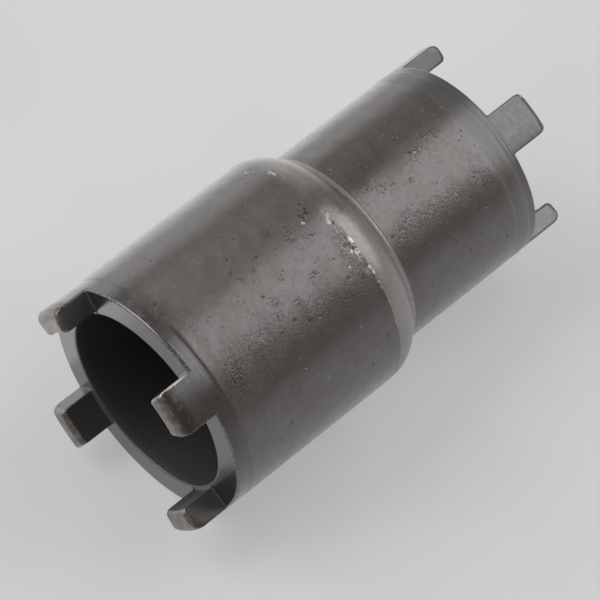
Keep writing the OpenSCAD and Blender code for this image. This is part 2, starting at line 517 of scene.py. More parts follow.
# A painted highlight along an edge of a lug: bright steel, not browned as the tips are
LARGE_PAINTED_HIGHLIGHT_EDGES = [(-2.2, 119.5, 2.2, 0.4, 0, -1.0)]
LARGE_MARKS = {
    "bare_and_glint": LARGE_SCUFFS_AND_GLINTS,
    "pocked": LARGE_POCKS,
    "scorch_and_shade": LARGE_PAINTED_SHADE_PATCHES,
    "satin_and_sheen": LARGE_PAINTED_SHEEN,
    "tip": LARGE_PAINTED_HIGHLIGHT_EDGES,
}
SMALL_MARKS = {"bare_and_glint": SMALL_PAINTED_GLINTS, "pocked": SMALL_POCKS, "scorch_and_shade": SMALL_PAINTED_SHADE_PATCHES, "satin_and_sheen": SMALL_PAINTED_SHEEN}
# Marks on a lug start at this rise and reach this far in from its outer face
LUG_MARK_RISE, LUG_EDGE_SHOWN = 0.05, 0.5
# Fine grooves that the turning tool left round the bands are clearest at one angle and faint elsewhere
GROOVES_AT, GROOVES_WIDTH, FAINT_GROOVES = math.radians(126), math.radians(20), 0.25
# Each groove is its depth behind the face, its half width and how deep it is
LARGE_GROOVES = [
    (1.45, 0.12, 0.008),
    (1.85, 0.10, 0.006),
]
SMALL_GROOVES = [
    (0.6, 0.12, 0.02),
    (1.05, 0.14, 0.03),
    (1.55, 0.16, 0.02),
    (2.2, 0.2, 0.01),
    (3.5, 0.3, 0.04),
]
# Unevenness of the forged tubes, which starts behind the bands and grows over this length
FORGED_WAVES = {"count": 18, "height": 0.018, "shortest": 3.5, "longest": 12}
FORGED_FADE = 1.0
LARGE_SEED, SMALL_SEED = 11, 23


def grooves(depth, angle, rings):
    """Depth of the turning grooves."""
    total = sum(deep * bell(depth - at, half) for at, half, deep in rings)
    near = bell(turn_from(GROOVES_AT, angle), GROOVES_WIDTH)
    return total * (FAINT_GROOVES + (1 - FAINT_GROOVES) * near)


def large_profile():
    """Rows of the large tube from its band over the shoulder and back through the seat and the bore."""
    centre = (SHOULDER_Z, LARGE.body_r - SHOULDER_R)
    step = LARGE.band_l + BAND_FADE
    # The lip stands above the bead by the clearance of the seat
    lip_r = SEAT_R + BEAD_H
    return np.concatenate([
        run((FACE_CHAMFER, LARGE.band_r), (LARGE.band_l, LARGE.band_r), rows=10),
        run((LARGE.band_l, LARGE.band_r), (step, LARGE.body_r), rows=5),
        run((step, LARGE.body_r), (FINE_Z, LARGE.body_r), rows=54),
        run((FINE_Z, LARGE.body_r), (SHOULDER_Z, LARGE.body_r), rows=30),
        arc(centre, SHOULDER_R, QUARTER, QUARTER - SHOULDER_TURN, rows=26),
        run((LIP_Z, lip_r), (LIP_Z, SEAT_R), rows=2),
        run((LIP_Z, SEAT_R), (PLATE_Z, SEAT_R), rows=3),
        run((PLATE_Z, SEAT_R), (PLATE_Z, LARGE.bore_r), rows=2),
        run((PLATE_Z, LARGE.bore_r), (MOUTH_R, LARGE.bore_r), rows=14),
    ])


def small_profile():
    """Rows of the small tube from its band to the end in the large tube and back through the bore."""
    foot, end = SMALL_FACE_Z - FOOT_Z, SMALL_FACE_Z - INSERT_Z
    step = SMALL.band_l + BAND_FADE
    return np.concatenate([
        run((FACE_CHAMFER, SMALL.band_r), (SMALL.band_l, SMALL.band_r), rows=12),
        run((SMALL.band_l, SMALL.band_r), (step, SMALL.body_r), rows=6),
        run((step, SMALL.body_r), (SMALL_FINE_Z, SMALL.body_r), rows=18),
        run((SMALL_FINE_Z, SMALL.body_r), (foot, SMALL.body_r), rows=72),
        run((foot, SMALL.body_r), (end, SMALL.body_r), rows=4),
        run((end, SMALL.body_r), (end, SMALL.bore_r), rows=3),
        run((end, SMALL.bore_r), (MOUTH_R, SMALL.bore_r), rows=20),
    ])


def crisp_edge(angle):
    """Share from 0 to 1 of how crisply the shoulder is set off from the body at an angle."""
    angle = angle % TURN
    return smooth((angle - CRISP_FROM) / CRISP_FADE) * smooth((CRISP_TO - angle) / CRISP_FADE)


def shoulder_painted_shade(angle):
    """Share from 0 to 1 of painted shade on the shoulder at an angle, where it keeps the dark oxide."""
    return SHOULDER_SHADE_SHARE * bell(turn_from(SHOULDER_SHADE_AT, angle), SHOULDER_SHADE_WIDTH)


def shoulder_step(depth, angle):
    """How far the start of the shoulder lies below its arc."""
    past = np.maximum(depth - SHOULDER_Z, 0)
    return SHOULDER_STEP * crisp_edge(angle) * (past > 0) * np.exp(-past / SHOULDER_FADE)


def tube_piece(name, tube, profile, rings, marks, seed):
    """A socket tube with its lugs, wear and marks, in place of its CAD node."""
    columns = tube_columns(tube)
    mouth_r = tube.bore_r + MOUTH_R
    mouth = arc((MOUTH_R, mouth_r), MOUTH_R, -QUARTER, -2 * QUARTER, CHAMFER_ROWS)
    plain = np.concatenate([profile, mouth, [(0, mouth_r)]])
    grid = np.concatenate([
        np.repeat(plain[:, None, :], len(columns), axis=1),
        lug_rows(tube, columns),
        chamfer_rows(tube, columns),
    ])
    depth, radius = grid[..., 0], grid[..., 1].copy()
    fan = np.zeros((len(grid), 1))
    fan[: len(profile)] = smooth((profile[:, :1] - FACE_CHAMFER) / FAN_L)
    angle = columns[:, LUG_ANGLE] * (1 - fan) + columns[:, EVEN_ANGLE] * fan

    # The profile runs along the outside up to its deepest row, and back through the inside
    outside = np.zeros((len(grid), 1))
    outside[: profile[:, 0].argmax() + 1] = 1
    body = outside * smooth((depth - tube.band_l) / FORGED_FADE)
    radius -= body * np.abs(waves(depth, angle, seed, **FORGED_WAVES))
    radius -= outside * grooves(depth, angle, rings)
    if tube is LARGE:
        radius -= outside * shoulder_step(depth, angle)
        radius -= body * dents(depth, angle, tube.body_r, LARGE_DINGS)

    masks = {key: np.zeros(depth.shape) for key in MASKS}
    mask_tube(masks, tube, depth, radius, angle, len(profile), len(plain))
    mask_lugs(masks, tube, columns, depth, angle, len(plain))
    shown = outside * np.ones(depth.shape)
    on_edge = radius[len(plain) :] > tube.band_r - LUG_EDGE_SHOWN
    shown[len(plain) :] = (columns[:, RISE] > LUG_MARK_RISE) * on_edge
    # The mark tables add wear, pits and scorching, and also painted glints, painted sheen and painted shade
    for key, table in marks.items():
        masks[key] = np.maximum(masks[key] + shown * dents(depth, angle, tube.body_r, table), 0)
    piece = closed_grid(name, depth, radius, angle, tube.face_x, tube.inward, masks)
    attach(piece, BODY)
    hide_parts(tube.node)
    return piece


# Finishes, and painted shade, sheen and glints, that a point of a tube can have, from 0 to 1
MASKS = ("turned", "satin_and_sheen", "matt", "bare_and_glint", "tip", "painted_shade", "scorch_and_shade", "pocked")
# The turned band fades out over this length, and its end face and lugs have this share of its matt finish
TURNED_FADE, FACE_MATT = 0.6, 0.6
# Painted shade: its share in the mouth of the bore and on the inner faces of the lugs
MOUTH_PAINTED_SHADE, LUG_INSIDE_PAINTED_SHADE = 0.5, 0.8
# Length over which the shoulder turns satin where its edge is crisp
SATIN_CRISP = 0.2
# Elsewhere it starts to turn satin this far before the edge, over a greater length
SATIN_BEFORE, SATIN_FADE = 1.2, 2.6
# Wear all along the edge where the shoulder starts: its half width and strength
SHOULDER_WEAR_HALF, SHOULDER_WEAR = 0.25, 0.22
# Columns that rise further than this are on a lug, and those that rise less than this on the face ring
LUG_RISE, RING_RISE = 0.95, 0.5
# The sides of lugs that face this way get painted shade
PAINTED_SHADE_SIDE, PAINTED_SHADE_SPREAD = math.radians(130), 0.5
# The outer face of a lug has this share of the satin on its sides
OUTER_SATIN = 0.9
# Wear of the tips, and of the side edges: plain, added on worn lugs, distance past the side and half width
TIP_WORN_L, TIP_WORN_FADE = 0.85, 0.6
EDGE_WORN, EDGE_WORN_MORE, EDGE_WORN_AT, EDGE_WORN_HALF = 0.25, 0.2, 0.1, 0.16
# Wear of the outer edge of the face ring
RING_WEAR, RING_WEAR_SEED = 0.36, 5
RING_WAVES = {"count": 6, "height": 0.09, "shortest": 6, "longest": 30}
# Scorched ring behind the worn tips, and the stain on the rest of a lug
BURNT_AT, BURNT_HALF, LUG_STAIN = 1.5, 0.9, 0.22


def mask_tube(masks, tube, depth, radius, angle, profile_rows, plain_rows):
    """Fills in the masks of the tube, its bore and the turned end."""
    outer = radius[:profile_rows] > tube.lug_inner_r
    near, round_at = depth[:profile_rows], angle[:profile_rows]
    band = outer * (1 - smooth((near - tube.turned_l) / TURNED_FADE))
    masks["turned"][:profile_rows] = tube.turned_share * band
    masks["turned"][plain_rows:] = 1
    masks["satin_and_sheen"][:profile_rows] = tube.band_satin * band
    masks["matt"][:profile_rows] = tube.band_matt * band
    masks["matt"][plain_rows:] = FACE_MATT * tube.band_matt
    # Painted shade: the bore is painted dark, and its mouth half as much
    masks["painted_shade"][:profile_rows] = ~outer
    masks["painted_shade"][profile_rows:plain_rows] = MOUTH_PAINTED_SHADE
    if tube is LARGE:
        past = near - SHOULDER_Z
        crisp = crisp_edge(round_at)
        soft_start = smooth((past + SATIN_BEFORE) / SATIN_FADE)
        turned = soft_start + crisp * (smooth(past / SATIN_CRISP) - soft_start)
        # The shoulder keeps its painted shade near one angle
        masks["satin_and_sheen"][:profile_rows] = outer * turned * (1 - shoulder_painted_shade(round_at))
        masks["bare_and_glint"][:profile_rows] = outer * crisp * SHOULDER_WEAR * bell(past, SHOULDER_WEAR_HALF)


def mask_lugs(masks, tube, columns, depth, angle, plain_rows):
    """Fills in the masks of the lugs and of the outer edge of the face ring."""
    rise, past = columns[:, RISE], columns[:, PAST]
    row = np.arange(ARCH_ROWS)[:, None]
    lug, edge = slice(plain_rows, plain_rows + ARCH_ROWS), slice(plain_rows + ARCH_ROWS - 1, None)
    on_lug, on_side = rise > LUG_RISE, (columns[:, LIFT] > 0) & (past <= 0)
    from_tip = tube.lug_l + depth[lug]
    inside = row < LUG_FACE_ROWS + TIP_ARC_ROWS // 2
    outside = row >= LUG_FACE_ROWS + TIP_ARC_ROWS + TIP_ROWS
    spread = TURN / LUG_COUNT
    from_lug = (columns[:, LUG_ANGLE] - math.radians(tube.lug_turn) + spread / 2) % spread - spread / 2
    faces = columns[:, LUG_ANGLE] + np.sign(from_lug) * QUARTER
    # Painted shade on the inner faces of the lugs and on their sides that face one way
    shaded_sides = on_side * smooth(PAINTED_SHADE_SPREAD + np.cos(faces - PAINTED_SHADE_SIDE))
    masks["painted_shade"][lug] = np.maximum(LUG_INSIDE_PAINTED_SHADE * inside * on_lug, tube.side_painted_shade * shaded_sides)
    masks["satin_and_sheen"][lug] = tube.side_satin * np.maximum(on_side, OUTER_SATIN * on_lug * outside)
    masks["tip"][lug] = on_lug * tube.tip_wear
    worn_tip = tube.tip_wear * smooth((TIP_WORN_L - from_tip) / TIP_WORN_FADE)
    worn_edge = (EDGE_WORN + EDGE_WORN_MORE * tube.tip_wear) * bell(past - EDGE_WORN_AT, EDGE_WORN_HALF)
    masks["bare_and_glint"][lug] = np.maximum(worn_tip, worn_edge) * on_lug * (row >= LUG_FACE_ROWS)
    ring_wear = RING_WEAR + waves(0.0, angle[edge], RING_WEAR_SEED, **RING_WAVES)
    masks["bare_and_glint"][edge] = ring_wear * (rise < RING_RISE)
    scorch_and_shade = tube.tip_wear * bell(from_tip - BURNT_AT, BURNT_HALF)
    masks["scorch_and_shade"][lug] = on_lug * outside * np.maximum(scorch_and_shade, LUG_STAIN)


def bead_piece():
    """The weld bead as a ring with a hollow face."""
    foot_r, low, high = SMALL.body_r, -QUARTER - SHOULDER_TURN, -QUARTER
    profile = np.concatenate([
        run((LIP_Z, SEAT_R), (LIP_Z, foot_r + BEAD_H), rows=3),
        arc((FOOT_Z, foot_r + BEAD_R), BEAD_R, low, high, rows=12),
        run((FOOT_Z, foot_r), (LIP_Z, SEAT_R), rows=3),
    ])
    shape = (len(profile), BEAD_COLUMNS)
    angle = np.broadcast_to(np.arange(BEAD_COLUMNS) / BEAD_COLUMNS * TURN, shape)
    depth, radius = np.broadcast_to(profile[:, :1], shape), np.broadcast_to(profile[:, 1:], shape)
    piece = closed_grid("bead_ring", depth, radius, angle, LARGE.face_x, 1, {})
    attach(piece, BODY)
    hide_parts("weld_bead")
    return piece


def square_radius(angle, half, corner):
    """Radius at an angle of a square whose corners are cut back slightly."""
    flat = half / np.maximum(np.abs(np.cos(angle)), np.abs(np.sin(angle)))
    return np.minimum(flat, half * math.sqrt(2) - corner)


# Softened edges of the plate, rows beside them that keep the flats flat, and the drop at a relief's brim
PLATE_SOFT, PLATE_HOLD = 0.15, 0.08
BRIM_DROP = PLATE_SOFT / 3
# Cut-back corners of the square hole, and the rows down it from each side
HOLE_CORNER, HOLE_ROWS, HOLE_STEP = 0.08, 4, 0.5


def plate_piece():
    """The drive plate with its square hole, softened edges and round reliefs."""
    half, soft, hold, relief = DRIVE_SQUARE / 2, PLATE_SOFT, PLATE_HOLD, DRIVE_RELIEF
    ledge = half * math.sqrt(2) + relief
    brim, rim = ledge + relief, SMALL.body_r
    angle = np.arange(PLATE_COLUMNS) / PLATE_COLUMNS * TURN
    hole = square_radius(angle, half, HOLE_CORNER)
    # Depth below a side of the plate, and radius, from the rim to the middle of the hole
    part = [
        (soft, rim),
        (0, rim - soft),
        (0, rim - soft - hold),
        (0, brim + soft + hold),
        (0, brim + soft),
        (BRIM_DROP, brim),
        (relief - hold, ledge + hold),
        (relief, ledge),
        (relief, ledge - hold),
        (relief, hole + soft + hold),
        (relief, hole + soft),
        (relief + soft, hole),
        (relief + soft + hold, hole),
    ]
    part += [(relief + soft + HOLE_STEP * k, hole) for k in range(1, HOLE_ROWS + 1)]
    rows = part + [(PLATE_T - below, r) for below, r in reversed(part)]
    depth = np.array([np.full(PLATE_COLUMNS, PLATE_Z + below) for below, _ in rows])
    radius = np.array([np.broadcast_to(r, PLATE_COLUMNS) for _, r in rows])
    angle = np.broadcast_to(angle, radius.shape)
    piece = closed_grid("drive_plate_broached", depth, radius, angle, LARGE.face_x, 1, {})
    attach(piece, BODY)
    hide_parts("drive_plate")
    return piece


# A ragged outline has this detail, and a spot is full over this share of its size
WARP_DETAIL, SPOT_CORE = 3.0, 0.3
# Noise is taken to lie evenly about this value
NOISE_MIDDLE = 0.5
# First of the two values, and the result, among the sockets of a Mix node
MIX_SOCKETS = {"FLOAT": (2, 0), "RGBA": (6, 2)}


class Shader:
    """A node material in the making."""

    def __init__(self, name):
        self.material = bpy.data.materials.new(name)
        self.material.use_nodes = True
        self.tree = self.material.node_tree
        self.tree.nodes.clear()
        self.surface = self.add("BsdfPrincipled")
        self.output = self.add("OutputMaterial")
        self.join(self.surface.outputs[0], self.output.inputs["Surface"])

    def add(self, kind, **settings):
        node = self.tree.nodes.new("ShaderNode" + kind)
        for key, value in settings.items():
            setattr(node, key, value)
        return node

    def join(self, value, socket):
        """Links an output to a socket, or sets the socket to a plain value."""
        if isinstance(value, bpy.types.NodeSocket):
            self.tree.links.new(value, socket)
        else:
            socket.default_value = value

    def operate(self, kind, operation, values):
        node = self.add(kind, operation=operation)
        for value, socket in zip(values, node.inputs):
            self.join(value, socket)
        return node.outputs

    def math(self, operation, *values):
        return self.operate("Math", operation, values)["Value"]

    def vector(self, operation, *values, output="Vector"):
        return self.operate("VectorMath", operation, values)[output]

    def range(self, value, low, high, to_low=0.0, to_high=1.0):
        """Smooth step of a value between two limits."""
        node = self.add("MapRange", interpolation_type="SMOOTHSTEP")
        names = ("Value", "From Min", "From Max", "To Min", "To Max")
        for name, setting in zip(names, (value, low, high, to_low, to_high)):
            self.join(setting, node.inputs[name])
        return node.outputs["Result"]

    def noise(self, where, scale, detail=2.0, roughness=0.5, kind="3D"):
        node = self.add("TexNoise", noise_dimensions=kind)
        self.join(where, node.inputs["W" if kind == "1D" else "Vector"])
        node.inputs["Scale"].default_value = scale
        node.inputs["Detail"].default_value = detail
        node.inputs["Roughness"].default_value = roughness
        return node.outputs["Fac"]

    def cells(self, where, scale):
        """Distance to the nearest cell centre, and a random value of that cell."""
        node = self.add("TexVoronoi", feature="F1")
        self.join(where, node.inputs["Vector"])
        node.inputs["Scale"].default_value = scale
        pick = self.vector("DOT_PRODUCT", node.outputs["Color"], (1, 0, 0), output="Value")
        return node.outputs["Distance"], pick

    def warp(self, where, scale, amount):
        """A position that wanders by this much, for ragged outlines."""
        node = self.add("TexNoise")
        self.join(where, node.inputs["Vector"])
        node.inputs["Scale"].default_value = scale
        node.inputs["Detail"].default_value = WARP_DETAIL
        drift = self.vector("SUBTRACT", node.outputs["Color"], (NOISE_MIDDLE,) * 3)
        drift = self.vector("MULTIPLY", drift, (amount,) * 3)
        return self.vector("ADD", where, drift)

    def spots(self, where, scale, least, small, large):
        """Scattered spots of mixed size: only cells with a random value above the least have one."""
        distance, pick = self.cells(where, scale)
        size = self.range(pick, least, 1.0, small, large)
        spot = self.range(distance, size, self.math("MULTIPLY", size, SPOT_CORE))
        return self.math("MULTIPLY", spot, self.math("GREATER_THAN", pick, least))

    def mix(self, kind, share, first, second):
        node = self.add("Mix", data_type=kind)
        start, result = MIX_SOCKETS[kind]
        self.join(share, node.inputs[0])
        self.join(first, node.inputs[start])
        self.join(second, node.inputs[start + 1])
        return node.outputs[result]

    def blend(self, share, first, second):
        """Mix of two colours."""
        return self.mix("RGBA", share, first, second)

    def between(self, share, first, second):
        """Mix of two numbers."""
        return self.mix("FLOAT", share, first, second)

    def mask(self, name):
        return self.add("Attribute", attribute_name=name).outputs["Fac"]

    def place(self):
        """Position on the object in millimetres, about the axis."""
        where = self.vector("SCALE", self.add("TexCoord").outputs["Object"])
        where.node.inputs["Scale"].default_value = 1 / MM
        return self.vector("SUBTRACT", where, (0.0, 0.0, AXIS_Z))

    def bump(self, height, distance_mm, strength=1.0):
        node = self.add("Bump")
        node.inputs["Strength"].default_value = strength
        node.inputs["Distance"].default_value = distance_mm * MM
        self.join(height, node.inputs["Height"])
        return node.outputs["Normal"]


# Colours and finishes
OXIDE_GREY = (0.131, 0.125, 0.122, 1)
OXIDE_BROWN = (0.127, 0.109, 0.105, 1)
OXIDE_DARK = (0.086, 0.067, 0.064, 1)
TURNED_GREY = (0.108, 0.108, 0.108, 1)
TURNED_DARK = (0.082, 0.082, 0.083, 1)
# Satin finish, also the colour of the painted sheen patches
SATIN_AND_SHEEN_GREY = (0.284, 0.274, 0.261, 1)
SATIN_AND_SHEEN_DARK = (0.248, 0.238, 0.227, 1)
BEAD_GREY = (0.262, 0.250, 0.240, 1)
BEAD_DARK = (0.212, 0.201, 0.192, 1)
# Bare steel of worn places, also the colour of painted glints and highlights
BARE_STEEL_AND_GLINT = (0.62, 0.60, 0.57, 1)
# Grey of scuffs, also of the painted glint beside each pit
SCUFF_AND_GLINT_GREY = (0.27, 0.258, 0.242, 1)
TIP_GREY = (0.190, 0.182, 0.167, 1)
TIP_BROWN = (0.112, 0.088, 0.080, 1)
# Brown of scorched lugs, also of the painted shade patches on the tubes
SCORCH_AND_SHADE_BROWN = (0.060, 0.042, 0.040, 1)
# Painted shade of the bore, its mouth, and the inner faces and shaded sides of the lugs
PAINTED_SHADE_BLACK = (0.035, 0.0345, 0.032, 1)
PIT_BLACK = (0.03, 0.026, 0.025, 1)
PLATE_GREY = (0.11, 0.108, 0.105, 1)
PLATE_DARK = (0.07, 0.065, 0.062, 1)
STEEL_METALLIC, SATIN_METALLIC, PAINTED_SHADE_METALLIC = 0.85, 0.5, 0.1
OIL_COAT, SATIN_COAT, DRY_COAT, OIL_ROUGHNESS = 0.8, 0.3, 0.15, 0.26
# Each noise is its features per millimetre, detail and roughness
PATCHES = (0.30, 3.0, 0.6)
MOTTLE = (1.6, 4.0, 0.65)
GRAIN = (4.4, 2.0, 0.6)
LINES = (5.0, 3.0, 0.7)
CRUMBS = (3.6, 2.0, 0.55)
FLAKES = (4.4, 3.0, 0.65)
TIP_STAINS = (0.9, 3.0, 0.65)
# Limits between which a noise or a mask goes from none of a colour to all of it, or to a share of it
PATCH_LIMITS = (0.40, 0.66)
DARK_LIMITS, DARK_SHARE = (0.45, 0.75), 0.45
LINE_LIMITS, LINE_SHARE = (0.45, 0.75), 0.6
TURNED_LIMITS, TURNED_DARK_SHARE = (0.40, 0.70), 0.45
SATIN_LIMITS = (0.4, 0.7)
SCORCH_AND_SHADE_LIMITS = (0.30, 0.55)
PIT_GLINT_LIMITS, PIT_GLINT_SHARE, PIT_SHARE = (0.20, 0.75), 0.6, 0.65
CRUMB_LIMITS, CRUMB_GAIN = (0.51, 0.61), 1.4
FLAKE_LIMITS, FLAKE_GAIN = (0.0, 0.3), 2.6
RUBBED_LIMITS, BRIGHT_LIMITS = (0.42, 0.60), (0.35, 0.75)
TIP_STAIN_LIMITS = (0.44, 0.60)
# Pits and specks: places per millimetre, the share of them left empty, and the least and largest radius,
# with the spacing of the places as 1
PITS, SPECKS, SPECK_SHARE = (0.70, 0.52, 0.10, 0.25), (1.9, 0.70, 0.12, 0.32), 0.6
RAGGED_SCALE, RAGGED_BY = 2.8, 0.40
# Pits have a painted glint on one side, where the pattern of pits lies past them when it is moved by this
# much
PIT_GLINT_SHIFT = (0.10, 0.10, 0.0)
# Turning lines follow the place along the axis plus this times the radius, so they show on end faces too
LINE_SLANT = 1.7
# Roughness goes from the first value to the second between these limits of a noise
ROUGH_LIMITS, OXIDE_ROUGH, TURNED_ROUGH = (0.3, 0.7), (0.27, 0.35), (0.18, 0.27)
SATIN_ROUGH, MATT_ROUGH, PAINTED_SHADE_ROUGH, RUBBED_ROUGH = 0.34, 0.46, 0.6, 0.34
# Heights of the relief, times the distance of the bump in millimetres
BUMP_MM, GRAIN_H, TURNED_GRAIN_H, PIT_H, LINE_H, FLAKE_H = 0.05, 0.5, 0.16, 2.4, 0.08, 0.3


def pit_map(s, at, on_body, pocked):
    """Pits, finer specks, and the crumbled surface of pocked places."""
    ragged = s.warp(at, RAGGED_SCALE, RAGGED_BY)
    pits = s.spots(ragged, *PITS)
    specks = s.math("MULTIPLY", s.spots(ragged, *SPECKS), SPECK_SHARE)
    pitted = s.math("MULTIPLY", s.math("MAXIMUM", pits, specks), on_body)
    crumbs = s.math("MULTIPLY", s.range(s.noise(at, *CRUMBS), *CRUMB_LIMITS), pocked)
    return s.math("MAXIMUM", pitted, s.math("MULTIPLY", crumbs, CRUMB_GAIN))


def turning_lines(s, at):
    """Fine lines round the axis, as a turning tool leaves them."""
    apart = s.add("SeparateXYZ")
    s.join(at, apart.inputs[0])
    off_axis = s.vector("LENGTH", s.vector("MULTIPLY", at, (0.0, 1.0, 1.0)), output="Value")
    where = s.math("ADD", apart.outputs["X"], s.math("MULTIPLY", off_axis, LINE_SLANT))
    return s.noise(where, *LINES, kind="1D")


def tube_finish(name):
    """Blackened steel: brown-grey oxide with pits, turned ends and shoulder, worn edges, painted glints,
    sheen and shade, and a bore painted dark as shade.
    """
    s = Shader(name)
    at = s.place()
    turned, satin_and_sheen, matt, bare_and_glint, tip, painted_shade, scorch_and_shade, pocked = (s.mask(key) for key in MASKS)

    # Patterns
    plain = s.math("MAXIMUM", turned, satin_and_sheen)
    on_body = s.math("SUBTRACT", 1.0, s.math("MAXIMUM", plain, painted_shade))
    mottle, grain, lines = s.noise(at, *MOTTLE), s.noise(at, *GRAIN), turning_lines(s, at)
    pitted = pit_map(s, at, on_body, pocked)
    moved = pit_map(s, s.vector("ADD", at, PIT_GLINT_SHIFT), on_body, pocked)
    pit_glint = s.range(s.math("SUBTRACT", moved, pitted), *PIT_GLINT_LIMITS)
    flaky = s.math("MULTIPLY", s.math("SUBTRACT", s.noise(at, *FLAKES), NOISE_MIDDLE), FLAKE_GAIN)
    flaky = s.math("MULTIPLY", flaky, s.range(bare_and_glint, *FLAKE_LIMITS))
    rubbed_and_glint = s.range(s.math("ADD", bare_and_glint, flaky), *RUBBED_LIMITS)

    # Colour
    oxide = s.blend(s.range(s.noise(at, *PATCHES), *PATCH_LIMITS), OXIDE_GREY, OXIDE_BROWN)
    oxide = s.blend(s.range(mottle, *DARK_LIMITS, to_high=DARK_SHARE), oxide, OXIDE_DARK)
    machined = s.blend(s.range(lines, *LINE_LIMITS, to_high=LINE_SHARE), TURNED_GREY, TURNED_DARK)
    machined = s.blend(s.range(mottle, *TURNED_LIMITS, to_high=TURNED_DARK_SHARE), machined, TURNED_DARK)
    dull = s.blend(s.range(mottle, *SATIN_LIMITS), SATIN_AND_SHEEN_GREY, SATIN_AND_SHEEN_DARK)
    # Bare steel for worn places and for painted glints
    worn = s.blend(s.range(bare_and_glint, *BRIGHT_LIMITS), SCUFF_AND_GLINT_GREY, BARE_STEEL_AND_GLINT)
    worn_tip = s.blend(s.range(s.noise(at, *TIP_STAINS), *TIP_STAIN_LIMITS), TIP_GREY, TIP_BROWN)
    colour = s.blend(turned, oxide, machined)
    # Satin finish, and painted sheen patches
    colour = s.blend(satin_and_sheen, colour, dull)
    # Scorched lugs, and painted shade patches
    colour = s.blend(s.math("MULTIPLY", scorch_and_shade, s.range(mottle, *SCORCH_AND_SHADE_LIMITS)), colour, SCORCH_AND_SHADE_BROWN)
    # Painted glint on one side of each pit
    colour = s.blend(s.math("MULTIPLY", pit_glint, PIT_GLINT_SHARE), colour, SCUFF_AND_GLINT_GREY)
    colour = s.blend(s.math("MULTIPLY", pitted, PIT_SHARE), colour, PIT_BLACK)
    # Painted shade in the bore and on the lugs
    colour = s.blend(painted_shade, colour, PAINTED_SHADE_BLACK)
    colour = s.blend(rubbed_and_glint, colour, s.blend(tip, worn, worn_tip))

    # Roughness
    oxide_rough = s.range(mottle, *ROUGH_LIMITS, *OXIDE_ROUGH)
    rough = s.between(turned, oxide_rough, s.range(lines, *ROUGH_LIMITS, *TURNED_ROUGH))
    rough = s.between(satin_and_sheen, rough, SATIN_ROUGH)
    rough = s.between(matt, rough, MATT_ROUGH)
    rough = s.between(painted_shade, rough, PAINTED_SHADE_ROUGH)
    rough = s.between(rubbed_and_glint, rough, RUBBED_ROUGH)

    # Relief, metal and the film of oil
    grain_h = s.between(plain, GRAIN_H, TURNED_GRAIN_H)
    height = s.math("MULTIPLY", s.math("SUBTRACT", grain, NOISE_MIDDLE), grain_h)
    height = s.math("SUBTRACT", height, s.math("MULTIPLY", pitted, PIT_H))
    height = s.math("ADD", height, s.math("MULTIPLY", s.math("MULTIPLY", lines, plain), LINE_H))
    height = s.math("ADD", height, s.math("MULTIPLY", s.math("MULTIPLY", flaky, rubbed_and_glint), FLAKE_H))
    metallic = s.between(satin_and_sheen, STEEL_METALLIC, SATIN_METALLIC)
    coat = s.between(s.math("MAXIMUM", satin_and_sheen, matt), OIL_COAT, SATIN_COAT)
    s.join(colour, s.surface.inputs["Base Color"])
    s.join(rough, s.surface.inputs["Roughness"])
    s.join(s.between(painted_shade, metallic, PAINTED_SHADE_METALLIC), s.surface.inputs["Metallic"])
    s.join(s.between(scorch_and_shade, coat, DRY_COAT), s.surface.inputs["Coat Weight"])
    s.surface.inputs["Coat Roughness"].default_value = OIL_ROUGHNESS
    s.join(s.bump(height, BUMP_MM), s.surface.inputs["Normal"])
    return s.material


# Plain steel of the bead and the plate
PLAIN_MOTTLE, PLAIN_LIMITS = (1.5, 4.0, 0.6), (0.35, 0.7)
PLAIN_GRAIN, PLAIN_BUMP_MM, PLAIN_BUMP_STRENGTH = (5.0, 2.0, 0.5), 0.03, 0.5
BEAD_ROUGH, PLATE_ROUGH, ROUGH_SPREAD = 0.32, 0.4, 0.06


def plain_finish(name, base, other, metallic, roughness, coat):
    """Plain steel with mottled colour and a fine grain."""
    s = Shader(name)
    at = s.place()
    mottle = s.noise(at, *PLAIN_MOTTLE)
    rough = s.range(mottle, *ROUGH_LIMITS, roughness - ROUGH_SPREAD, roughness + ROUGH_SPREAD)
    grain = s.bump(s.noise(at, *PLAIN_GRAIN), PLAIN_BUMP_MM, PLAIN_BUMP_STRENGTH)
    s.join(s.blend(s.range(mottle, *PLAIN_LIMITS), base, other), s.surface.inputs["Base Color"])
    s.join(rough, s.surface.inputs["Roughness"])
    s.surface.inputs["Metallic"].default_value = metallic
    s.surface.inputs["Coat Weight"].default_value = coat
    s.surface.inputs["Coat Roughness"].default_value = OIL_ROUGHNESS
    s.join(grain, s.surface.inputs["Normal"])
    return s.material


def dress(piece, material):
    """Gives a piece its material."""
    piece.data.materials.append(material)


# Light from all round, two tints of the lamps, and the point in metres that lamps face
WORLD_COLOUR, WORLD_STRENGTH = (0.318, 0.285, 0.266, 1), 1.0
COOL, COLD = (0.955, 0.985, 1.0), (0.91, 0.985, 1.0)
MIDDLE = (0.0, 0.0, 0.015)
FLOOR_COLOUR = (0.66, 0.66, 0.675, 1)
FLOOR_SHADE = (0.625, 0.625, 0.64, 1)
FLOOR_CLOUDS, FLOOR_LIMITS = (0.03, 2.0, 0.5), (0.3, 0.7)
FLOOR_ROUGH, FLOOR_SPECULAR = 0.8, 0.1
# Side of the floor in metres, and the share of its colour that shows without light
FLOOR_SIDE, FLOOR_GLOW = 4.0, 0.55


